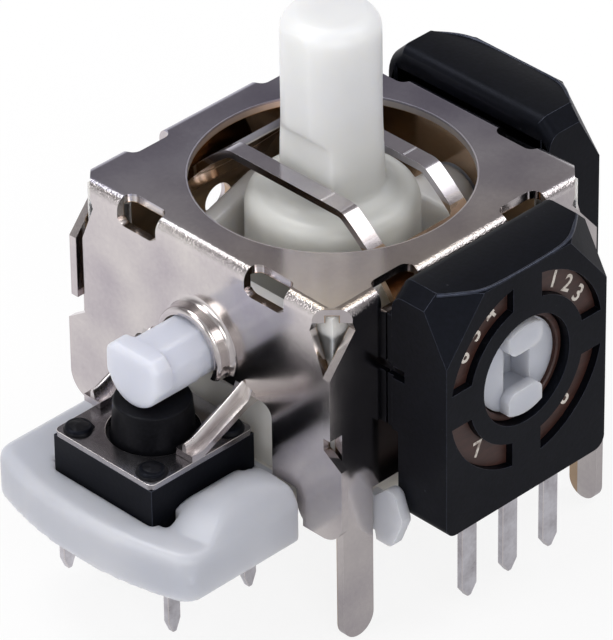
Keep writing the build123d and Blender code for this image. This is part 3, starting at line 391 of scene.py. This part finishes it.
# Its edges: glossier, and painted a little paler, a painted highlight
blackEdgeHighlight = dict(black, colour="171a23", pale="262a36", rough=(0.2, 0.34), gloss=0.55, bump=0.5)

# Black polyamide of the button, moulded matt: even and dull
buttonBlack = dict(black, colour="08080b", pale="101014", dust="26262a", textureMm=0.15, dustMm=1.5,
                   rough=(0.38, 0.5), sheen=(0.9, 0.92, 1.0, 1), bump=0.12)


def makeBlack(name, p):
    material, tree, coords = newMaterial(name)
    texture = addNode(tree, "ShaderNodeTexNoise", inputs={"Vector": coords, "Detail": 2.0,
                                                          "Scale": 1 / (p["textureMm"] * mm)})
    wide = addNode(tree, "ShaderNodeTexNoise", inputs={"Vector": coords, "Scale": 1 / (p["wideMm"] * mm),
                                                       "Detail": 3.0})
    specks = addNode(tree, "ShaderNodeTexVoronoi", inputs={"Vector": coords, "Scale": 1 / (p["dustMm"] * mm)})
    dots = addNode(tree, "ShaderNodeMapRange", inputs={
        "Value": specks.outputs["Distance"], "From Min": p["dustSpan"][0], "From Max": p["dustSpan"][1],
        "To Min": p["dustShare"], "To Max": 0.0})
    skin = addNode(tree, "ShaderNodeValToRGB", inputs={"Fac": texture})
    setRamp(skin, [(0.35, hexColour(p["colour"])), (0.7, hexColour(p["pale"]))])
    colour = addNode(tree, "ShaderNodeMixRGB", inputs={"Fac": dots, "Color1": skin,
                                                       "Color2": hexColour(p["dust"])})
    rough = addNode(tree, "ShaderNodeMapRange", inputs={
        "Value": wide, "From Min": 0.3, "From Max": 0.7, "To Min": p["rough"][0], "To Max": p["rough"][1]})
    bump = addNode(tree, "ShaderNodeBump", inputs={"Height": texture, "Strength": p["bump"],
                                                   "Distance": p["bumpMm"] * mm})
    shader = addNode(tree, "ShaderNodeBsdfPrincipled", inputs={
        "Base Color": colour, "Roughness": rough, "IOR": 1.53, "Specular IOR Level": p["gloss"],
        "Specular Tint": p["sheen"], "Normal": bump})
    addNode(tree, "ShaderNodeOutputMaterial", inputs={"Surface": shader})
    return material


# Phenolic paper board, pressed: brown resin with paper fibres that run sideways
board = {"colour": "42241c", "dark": "2a1610", "fibreMm": 1.2, "fibreStretch": (1, 1, 4), "rough": 0.5}


def makeBoard(name, p):
    material, tree, coords = newMaterial(name)
    stretch = addNode(tree, "ShaderNodeMapping", inputs={"Vector": coords, "Scale": p["fibreStretch"]})
    fibre = addNode(tree, "ShaderNodeTexNoise", inputs={"Vector": stretch, "Scale": 1 / (p["fibreMm"] * mm),
                                                        "Detail": 5.0, "Roughness": 0.7})
    colour = addNode(tree, "ShaderNodeValToRGB", inputs={"Fac": fibre})
    setRamp(colour, [(0.3, hexColour(p["dark"])), (0.7, hexColour(p["colour"]))])
    shader = addNode(tree, "ShaderNodeBsdfPrincipled", inputs={"Base Color": colour, "Roughness": p["rough"],
                                                               "IOR": 1.55})
    addNode(tree, "ShaderNodeOutputMaterial", inputs={"Surface": shader})
    return material


# Epoxy ink, screen printed: flat off-white with worn patches where the screen missed
ink = {"light": "cfc8bf", "dark": "8d8078", "wearMm": 0.35, "rough": 0.6}


def makeInk(name, p):
    material, tree, coords = newMaterial(name)
    wear = addNode(tree, "ShaderNodeTexNoise", inputs={"Vector": coords, "Scale": 1 / (p["wearMm"] * mm),
                                                       "Detail": 3.0})
    colour = addNode(tree, "ShaderNodeValToRGB", inputs={"Fac": wear})
    setRamp(colour, [(0.35, hexColour(p["dark"])), (0.5, hexColour(p["light"]))])
    shader = addNode(tree, "ShaderNodeBsdfPrincipled", inputs={"Base Color": colour, "Roughness": p["rough"]})
    addNode(tree, "ShaderNodeOutputMaterial", inputs={"Surface": shader})
    return material


# Finish of each material slot, or of a node that has its own
finishes = {"plated_sheet": makePlate("nickelPlatedSteel", plate),
            "white_moulding": makeAcetal("naturalAcetal", acetal),
            "stick": makeAcetal("turnedAcetalStick", stickAcetal),
            "rocker_arm": makeAcetal("mouldedAcetalArm", armAcetalPaintedCool),
            "black_moulding": makeBlack("blackPolyamide", black),
            "brown_board": makeBoard("phenolicBoard", board),
            "tinned_pin": makePlate("tinnedBrass", tin),
            "steel_pin": makePlate("groundSteel", thinSheet),
            "spring_wire": makePlate("drawnWire", thinSheet),
            "contact_bronze": makePlate("phosphorBronze", bronze),
            "black_button": makeBlack("mattBlackButton", buttonBlack),
            "switch_sheet": makePlate("thinSteelSheet", thinSheet)}
# Paler finishes for rounded edges: their paler colour is a painted highlight along every edge
paintedHighlightEdgeFinishes = {"plated_sheet": makePlate("shearedPlatedEdgeHighlight", plateEdgeHighlight),
                "switch_sheet": makePlate("stampedSheetEdgeHighlight", plateEdgeHighlight),
                "tinned_pin": makePlate("shearedTinnedEdgeHighlight", dict(plateEdgeHighlight, rough=(0.2, 0.35))),
                "black_moulding": makeBlack("blackPolyamideEdgeHighlight", blackEdgeHighlight)}
printedInk = makeInk("screenPrintInk", ink)
print("finishes are made")


# Edge rounding of each moulded, folded or punched piece, in millimetres
edgeRound = {"cover_frame": 0.07, "base_plate": 0.12, "stick": 0.08, "rocker_arm": 0.12,
             "slotted_arch": 0.05, "spring_seat": 0.08, "pot1_housing": 0.12, "pot2_housing": 0.12,
             "pot1_rotor": 0.12, "pot2_rotor": 0.12, "switch_body": 0.05, "switch_plate": 0.05,
             "switch_button": 0.1}
plainEdge = {"round": 0.03, "steps": 2, "flatDegrees": 0.3}

# The back top edge of each potentiometer's housing is rounded much more than its other edges
wideRound = {"pot1_housing": {"axis": 0, "round": 0.6, "low": 11.9, "back": 8.45, "steps": 5},
             "pot2_housing": {"axis": 1, "round": 0.6, "low": 11.9, "back": 8.45, "steps": 5}}


def creaseEdges(edges):
    for edge in edges:
        edge.smooth = not (edge.is_manifold and edge.calc_face_angle(0) > creaseAngle)


def roundBackEdge(work, p):
    chosen = [edge for edge in work.edges if not edge.smooth and edge.is_manifold
              and all(v.co.z > p["low"] * mm and v.co[p["axis"]] < p["back"] * mm for v in edge.verts)]
    made = bmesh.ops.bevel(work, geom=chosen, offset=p["round"] * mm, segments=p["steps"], affect="EDGES",
                           profile=0.5, clamp_overlap=False)
    for face in made["faces"]:
        face.smooth = True
        creaseEdges(face.edges)


# Soft mouldings: voxel size and smoothing passes. Only the base's platform is softened, from cutY outwards,
# and the tops of the rocker's cheeks slope down to both ends, where wedges with this outline are cut away
softened = {"base_plate": {"voxel": 0.11, "passes": 9, "cutY": -7.95, "overlap": 0.02},
            "stick": {"voxel": 0.12, "passes": 6},
            "rocker_arm": {"voxel": 0.095, "passes": 5, "cutX": 6.0,
                           "cut": [(-3.6, 9.09), (-0.36, 10.2), (-0.36, 10.7), (-3.6, 10.7)]}}


def cutSlopes(holder, p):
    work = bmesh.new()
    count = len(p["cut"])
    for sign in (1, -1):
        near, far = ([work.verts.new((x * mm, sign * y * mm, z * mm)) for y, z in p["cut"]]
                     for x in (-p["cutX"], p["cutX"]))
        work.faces.new(near)
        work.faces.new(far)
        for k in range(count):
            n = (k + 1) % count
            work.faces.new((near[k], near[n], far[n], far[k]))
    bmesh.ops.recalc_face_normals(work, faces=work.faces)
    cutter = linkObject("slopeCutter", meshFrom("slopeCutter", work))
    slopes = holder.modifiers.new("slopes", "BOOLEAN")
    slopes.operation, slopes.object, slopes.solver = "DIFFERENCE", cutter, "EXACT"
    return cutter


def softMesh(name, work, p):
    holder = linkObject(name + "Soft", meshFrom(name + "Soft", work))
    cutter = cutSlopes(holder, p) if "cut" in p else None
    remesh = holder.modifiers.new("remesh", "REMESH")
    remesh.mode = "VOXEL"
    remesh.voxel_size = p["voxel"] * mm
    remesh.use_smooth_shade = True
    relax = holder.modifiers.new("relax", "SMOOTH")
    relax.factor, relax.iterations = 0.5, p["passes"]
    soft = settledMesh(holder)
    if cutter:
        bpy.data.objects.remove(cutter)
    return soft


def keepSide(work, y, below):
    made = bmesh.ops.bisect_plane(work, geom=work.verts[:] + work.edges[:] + work.faces[:],
                                  dist=0.00001 * mm, plane_co=(0, y * mm, 0), plane_no=(0, 1, 0),
                                  clear_outer=below, clear_inner=not below)
    rim = [item for item in made["geom_cut"] if isinstance(item, bmesh.types.BMEdge)]
    bmesh.ops.holes_fill(work, edges=rim)


def soften(work, nodeName, p):
    outside = work.copy()
    if "cutY" in p:
        keepSide(outside, p["cutY"], True)
        keepSide(work, p["cutY"] - p["overlap"], False)
    else:
        work.clear()
    soft = softMesh(nodeName, outside, p)
    work.from_mesh(soft)
    bpy.data.meshes.remove(soft)


# The arm is slimmer inside the collar, so that it keeps clear of the collar's facets as it turns
slimmed = {"rocker_arm": {"fromY": -9.2, "toY": -7.2, "axisZ": 7.5, "radius": 1.45}}


def slim(work, p):
    middle = p["axisZ"] * mm
    for vert in work.verts:
        if p["fromY"] * mm < vert.co.y < p["toY"] * mm:
            reach = math.hypot(vert.co.x, vert.co.z - middle)
            share = min(1.0, p["radius"] * mm / max(reach, mergeGap))
            vert.co.x *= share
            vert.co.z = middle + (vert.co.z - middle) * share


# The base's corner posts reach up to the cover and fill its folded corners
raisedPosts = {"base_plate": {"centre": 6.75, "half": 0.656, "low": 9.6, "top": 11.74}}


def raisePosts(work, p):
    size = Matrix.Diagonal((2 * p["half"] * mm, 2 * p["half"] * mm, (p["top"] - p["low"]) * mm, 1))
    for signX in (-1, 1):
        for signY in (-1, 1):
            centre = Vector((signX * p["centre"], signY * p["centre"], (p["low"] + p["top"]) / 2)) * mm
            bmesh.ops.create_cube(work, size=1.0, matrix=Matrix.Translation(centre) @ size)


# The return spring stands on the base; it rides on the frame with a mesh of its own
squashed = {"return_spring": {"body": "frame", "joint": "seat_slide", "anchorZ": 1.7, "keep": 0.88}}


# Copy of a CAD node with its own finish: triangles joined to flat faces, edges rounded
def dressNode(nodeName):
    data = frame["nodes"][nodeName].data.copy()
    data.name = nodeName + "Skin"
    work = bmesh.new()
    work.from_mesh(data)
    bmesh.ops.remove_doubles(work, verts=work.verts, dist=mergeGap)
    bmesh.ops.dissolve_limit(work, angle_limit=math.radians(plainEdge["flatDegrees"]), verts=work.verts,
                             edges=work.edges)
    if nodeName in softened:
        soften(work, nodeName, softened[nodeName])
    if nodeName in slimmed:
        slim(work, slimmed[nodeName])
    for face in work.faces:
        face.smooth = True
    if nodeName in raisedPosts:
        raisePosts(work, raisedPosts[nodeName])
    creaseEdges(work.edges)
    if nodeName in wideRound:
        roundBackEdge(work, wideRound[nodeName])
    work.to_mesh(data)
    work.free()
    piece = linkObject(nodeName + "_skin", data)
    bevel = piece.modifiers.new("edges", "BEVEL")
    bevel.width = edgeRound.get(nodeName, plainEdge["round"]) * mm
    bevel.segments = plainEdge["steps"]
    bevel.limit_method, bevel.angle_limit = "ANGLE", creaseAngle
    bevel.use_clamp_overlap = True
    bevel.harden_normals = True
    slot = slotOf[nodeName]
    data.materials.clear()
    data.materials.append(finishes.get(nodeName, finishes[slot]))
    # The bevel's faces take the paler edge finish, a painted highlight
    if slot in paintedHighlightEdgeFinishes:
        data.materials.append(paintedHighlightEdgeFinishes[slot])
        bevel.material = 1
    if nodeName in squashed:
        p = squashed[nodeName]
        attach(piece, p["body"])
        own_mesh(piece)
    else:
        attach(piece, bodyOf[nodeName])
    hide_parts(nodeName)


for nodeName in sorted(frame["nodes"]):
    dressNode(nodeName)
print("pieces are dressed")


def addPiece(name, data, material, body):
    piece = linkObject(name, data)
    data.materials.clear()
    data.materials.append(material)
    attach(piece, body)


# Each potentiometer's own directions: sideways, up and outwards
potSides = {"pot1": Matrix(((0, 0, 1), (1, 0, 0), (0, 1, 0))),
            "pot2": Matrix(((-1, 0, 0), (0, 0, 1), (0, 1, 0)))}

# Raised board fields that show in the four windows of each potentiometer, and the ring round its rotor
boardField = {"axisZ": 7.5, "inner": 3.47, "outer": 4.58, "web": 0.88, "back": 10.32, "front": 11.17,
              "steps": 12, "ringSteps": 64,
              "ringRows": [(2.3, 10.32), (2.3, 11.0), (2.36, 11.06), (2.52, 11.06), (2.58, 11.0),
                           (2.58, 10.32)]}


def fieldOutline(f, quarter):
    points = []
    for radius, order in ((f["outer"], 1), (f["inner"], -1)):
        start = math.asin(f["web"] / radius)
        turns = [start + (math.pi / 2 - 2 * start) * i / f["steps"] for i in range(f["steps"] + 1)]
        for turn in turns[::order]:
            turned = turn + quarter * math.pi / 2
            points.append((radius * math.cos(turned), radius * math.sin(turned) + f["axisZ"]))
    return points


def makeBoardFields(pot, f):
    work = bmesh.new()
    for quarter in range(4):
        outline = fieldOutline(f, quarter)
        back, front = ([work.verts.new(potSides[pot] @ Vector((t, z, depth)) * mm) for t, z in outline]
                       for depth in (f["back"], f["front"]))
        count = len(outline)
        for i in range(f["steps"]):
            j = count - 1 - i
            work.faces.new((front[i], front[i + 1], front[j - 1], front[j]))
            work.faces.new((back[j], back[j - 1], back[i + 1], back[i]))
        for i in range(count):
            k = (i + 1) % count
            work.faces.new((back[i], back[k], front[k], front[i]))
    rows = []
    for radius, depth in f["ringRows"]:
        rows.append([])
        for i in range(f["ringSteps"]):
            turn = 2 * math.pi * i / f["ringSteps"]
            place = Vector((radius * math.cos(turn), radius * math.sin(turn) + f["axisZ"], depth))
            rows[-1].append(work.verts.new(potSides[pot] @ place * mm))
    for row, nextRow in zip(rows, rows[1:] + rows[:1]):
        for i in range(f["ringSteps"]):
            k = (i + 1) % f["ringSteps"]
            work.faces.new((row[i], row[k], nextRow[k], nextRow[i]))
    bmesh.ops.recalc_face_normals(work, faces=work.faces)
    addPiece(pot + "_board_fields", meshFrom(pot + "BoardFields", work), finishes["brown_board"],
             "frame")


# Plain numbers printed in off-white ink: text, turn round the window ring, radius, tilt
printed = {"size": 1.1, "sheet": 0.012, "front": 11.175, "bold": 0.022, "curveSteps": 3,
           "marks": [("1", 61, 3.98, -20), ("2", 46, 3.98, -34), ("3", 31, 3.98, -48), ("4", 118, 4.06, 40),
                     ("5", 133, 4.1, 50), ("6", 148, 4.12, 60), ("7", 228, 3.95, 0), ("8", 312, 3.9, 40)]}


def makeNumbers(pot, p, field):
    work = bmesh.new()
    for text, turn, radius, tilt in p["marks"]:
        curve = bpy.data.curves.new("number", "FONT")
        curve.body, curve.size, curve.extrude = text, p["size"], p["sheet"] / 2
        curve.offset, curve.resolution_u = p["bold"], p["curveSteps"]
        curve.align_x = curve.align_y = "CENTER"
        holder = bpy.data.objects.new("number", curve)
        flat = bpy.data.meshes.new_from_object(holder)
        angle = math.radians(turn)
        centre = Vector((radius * math.cos(angle), radius * math.sin(angle) + field["axisZ"], p["front"]))
        place = Matrix.Translation(centre) @ Matrix.Rotation(math.radians(tilt), 4, "Z")
        flat.transform(Matrix.Scale(mm, 4) @ potSides[pot].to_4x4() @ place)
        work.from_mesh(flat)
        bpy.data.objects.remove(holder)
        bpy.data.meshes.remove(flat)
    bmesh.ops.remove_doubles(work, verts=work.verts, dist=mergeGap)
    bmesh.ops.recalc_face_normals(work, faces=work.faces)
    addPiece(pot + "_numbers", meshFrom(pot + "Numbers", work), printedInk, "frame")


for pot in potSides:
    makeBoardFields(pot, boardField)
    makeNumbers(pot, printed, boardField)
print("board fields and numbers are made")


# Geometry Nodes trees: named inputs, and a shared ending that makes the result real and gives its finish
def newTree(name, sizes):
    tree = bpy.data.node_groups.new(name, "GeometryNodeTree")
    for label, kind in sizes:
        tree.interface.new_socket(label, in_out="INPUT", socket_type=kind)
    tree.interface.new_socket("Geometry", in_out="OUTPUT", socket_type="NodeSocketGeometry")
    given = addNode(tree, "NodeGroupInput")
    return tree, {label: given.outputs[label] for label, kind in sizes}


def endTree(tree, geometry, finish):
    real = addNode(tree, "GeometryNodeRealizeInstances", inputs={0: geometry})
    smooth = addNode(tree, "GeometryNodeSetShadeSmooth", inputs={"Geometry": real})
    finished = addNode(tree, "GeometryNodeSetMaterial", inputs={"Geometry": smooth, "Material": finish})
    addNode(tree, "NodeGroupOutput", inputs={"Geometry": finished})
    return tree


def growMesh(name, tree, values, finish):
    holder = linkObject(name, bpy.data.meshes.new(name))
    grower = holder.modifiers.new("grow", "NODES")
    grower.node_group = tree
    values = dict(values, Finish=finish)
    for item in tree.interface.items_tree:
        if item.in_out == "INPUT":
            grower[item.identifier] = values[item.name]
    addPiece(name, settledMesh(holder), finish, "frame")


# Rivet heads of the switch: four melted studs, each pressed and turned a little differently
rivets = {"spacing": 4.5, "centreY": -10.8, "seatZ": 4.27, "radius": 0.68, "rise": 0.3, "seed": 7,
          "segments": 28, "rings": 16, "turns": ((-0.06, -0.06, 0.0), (0.06, 0.06, 6.28)),
          "sizes": ((0.92, 0.96, 0.9), (1.06, 1.04, 1.1)), "rippleMm": 0.35, "ripple": (0.14, 0.14, 0.12)}


def makeRivetTree(p):
    tree, size = newTree("rivetHeads", [("Spacing", "NodeSocketFloat"), ("Centre", "NodeSocketVector"),
                                        ("Radius", "NodeSocketFloat"), ("Rise", "NodeSocketFloat"),
                                        ("Seed", "NodeSocketInt"), ("Finish", "NodeSocketMaterial")])
    grid = addNode(tree, "GeometryNodeMeshGrid", inputs={"Size X": size["Spacing"], "Size Y": size["Spacing"],
                                                         "Vertices X": 2, "Vertices Y": 2})
    ball = addNode(tree, "GeometryNodeMeshUVSphere", inputs={"Segments": p["segments"], "Rings": p["rings"],
                                                             "Radius": 1.0})
    flatten = addNode(tree, "ShaderNodeCombineXYZ", inputs={"X": size["Radius"], "Y": size["Radius"],
                                                            "Z": size["Rise"]})
    head = addNode(tree, "GeometryNodeTransform", inputs={"Geometry": ball, "Scale": flatten})
    spin, grow = (addNode(tree, "FunctionNodeRandomValue", {"data_type": "FLOAT_VECTOR"},
                          {0: low, 1: high, "Seed": size["Seed"]}) for low, high in (p["turns"], p["sizes"]))
    heads = addNode(tree, "GeometryNodeInstanceOnPoints", inputs={"Points": grid, "Instance": head,
                                                                  "Rotation": spin, "Scale": grow})
    real = addNode(tree, "GeometryNodeRealizeInstances", inputs={0: heads})
    ripple = addNode(tree, "ShaderNodeTexNoise", inputs={"Scale": 1 / (p["rippleMm"] * mm), "Detail": 1.0})
    centred = addNode(tree, "ShaderNodeVectorMath", {"operation": "SUBTRACT"},
                      {0: ripple.outputs["Color"], 1: (0.5, 0.5, 0.5)})
    small = addNode(tree, "ShaderNodeVectorMath", {"operation": "MULTIPLY"},
                    {0: centred, 1: [v * mm for v in p["ripple"]]})
    uneven = addNode(tree, "GeometryNodeSetPosition", inputs={"Geometry": real, "Offset": small})
    placed = addNode(tree, "GeometryNodeTransform", inputs={"Geometry": uneven,
                                                            "Translation": size["Centre"]})
    return endTree(tree, placed, size["Finish"])


growMesh("switch_rivet_heads", makeRivetTree(rivets),
         {"Spacing": rivets["spacing"] * mm, "Centre": (0, rivets["centreY"] * mm, rivets["seatZ"] * mm),
          "Radius": rivets["radius"] * mm, "Rise": rivets["rise"] * mm, "Seed": rivets["seed"]},
         finishes["black_button"])
print("rivet heads are made")


def smoothPath(name, points, order):
    curve = bpy.data.curves.new(name, "CURVE")
    curve.dimensions = "3D"
    curve.resolution_u = 8
    spline = curve.splines.new("NURBS")
    spline.points.add(len(points) - 1)
    for point, place in zip(spline.points, points):
        point.co = (*(Vector(place) * mm), 1.0)
    spline.use_endpoint_u = True
    spline.order_u = order
    return linkObject(name, curve)


# Rounded edge of oval section that follows a path
def makeEdgeTree():
    tree, size = newTree("roundedEdge", [("Path", "NodeSocketObject"), ("Half width", "NodeSocketFloat"),
                                         ("Rise", "NodeSocketFloat"), ("Sides", "NodeSocketInt"),
                                         ("Finish", "NodeSocketMaterial")])
    path = addNode(tree, "GeometryNodeObjectInfo", inputs={"Object": size["Path"]})
    circle = addNode(tree, "GeometryNodeCurvePrimitiveCircle", inputs={"Resolution": size["Sides"],
                                                                       "Radius": 1.0})
    oval = addNode(tree, "ShaderNodeCombineXYZ", inputs={"X": size["Rise"], "Y": size["Half width"],
                                                         "Z": 1.0})
    section = addNode(tree, "GeometryNodeTransform", inputs={"Geometry": circle, "Scale": oval})
    tube = addNode(tree, "GeometryNodeCurveToMesh", inputs={"Curve": path.outputs["Geometry"],
                                                            "Profile Curve": section, "Fill Caps": True})
    return endTree(tree, tube, size["Finish"])


def growEdge(name, tree, points, p, finish):
    path = smoothPath(name + "Path", points, p["order"])
    growMesh(name, tree, {"Path": path, "Half width": p["halfWidth"] * mm, "Rise": p["rise"] * mm,
                          "Sides": p["sides"]}, finish)
    bpy.data.objects.remove(path)


# Moulded bead along the top front edge of each potentiometer, a bowed line with rolled ends
bead = {"path": [(-4.2, 12.72, 10.3), (-3.5, 12.74, 10.86), (-2.75, 12.68, 11.36), (-1.6, 12.62, 11.42),
                 (0.0, 12.6, 11.42), (1.6, 12.62, 11.42), (2.75, 12.68, 11.36), (3.5, 12.74, 10.86),
                 (4.2, 12.72, 10.3)],
        "halfWidth": 0.09, "rise": 0.09, "sides": 10, "order": 4}

# Rolled crown of the two fingers that hold the switch
fingerRoll = {"centres": {"right": 2.55, "left": -3.1}, "halfWidth": 0.5, "rise": 0.13, "sides": 16,
              "order": 3, "path": [(-7.75, 6.12), (-8.12, 5.92), (-8.75, 5.58), (-9.6, 5.19),
                                   (-10.4, 4.82), (-10.95, 4.6), (-11.42, 4.58)]}

edgeTree = makeEdgeTree()
# The beads and rolls take the paler edge finish, whose pale colour is a painted highlight
for pot in potSides:
    growEdge(pot + "_top_bead", edgeTree, [potSides[pot] @ Vector(place) for place in bead["path"]], bead,
             paintedHighlightEdgeFinishes["black_moulding"])
for side, centre in fingerRoll["centres"].items():
    growEdge("finger_roll_" + side, edgeTree, [(centre, y, z) for y, z in fingerRoll["path"]], fingerRoll,
             paintedHighlightEdgeFinishes["plated_sheet"])
print("beads and rolled fingers are made")


# Lip that closes each potentiometer's housing at the back
backLip = {"half": 4.42, "low": 10.2, "top": 11.84, "back": 8.33, "front": 8.63, "round": 0.12, "steps": 3}


def makeBackLip(pot, p):
    work = bmesh.new()
    bmesh.ops.create_cube(work, size=1.0)
    for vert in work.verts:
        t = vert.co.x * 2 * p["half"]
        z = p["low"] + (vert.co.y + 0.5) * (p["top"] - p["low"])
        depth = p["back"] + (vert.co.z + 0.5) * (p["front"] - p["back"])
        vert.co = potSides[pot] @ Vector((t, z, depth)) * mm
    bmesh.ops.bevel(work, geom=work.edges, offset=p["round"] * mm, segments=p["steps"], affect="EDGES",
                    profile=0.5)
    bmesh.ops.recalc_face_normals(work, faces=work.faces)
    for face in work.faces:
        face.smooth = True
    addPiece(pot + "_back_lip", meshFrom(pot + "BackLip", work), finishes["black_moulding"],
             "frame")


# Coined marks across the flat of both arch rails
coinMarks = {"places": [(2.22, -2.46), (2.22, 2.46)], "length": 0.78, "width": 0.1, "top": 13.13,
             "sink": 0.06, "round": 0.02, "steps": 2}


def makeCoinMarks(p):
    work = bmesh.new()
    size = Matrix.Diagonal((p["width"] * mm, p["length"] * mm, 2 * p["sink"] * mm, 1))
    for x, y in p["places"]:
        place = Matrix.Translation(Vector((x, y, p["top"] - p["sink"])) * mm)
        bmesh.ops.create_cube(work, size=1.0, matrix=place @ size)
    bmesh.ops.bevel(work, geom=work.edges, offset=p["round"] * mm, segments=p["steps"], affect="EDGES",
                    profile=0.5)
    # The marks take the paler edge finish, a painted highlight
    addPiece("arch_coin_marks", meshFrom("coinMarks", work), paintedHighlightEdgeFinishes["plated_sheet"],
             "arch")


for pot in potSides:
    makeBackLip(pot, backLip)
makeCoinMarks(coinMarks)
print("back lips and coined marks are made")
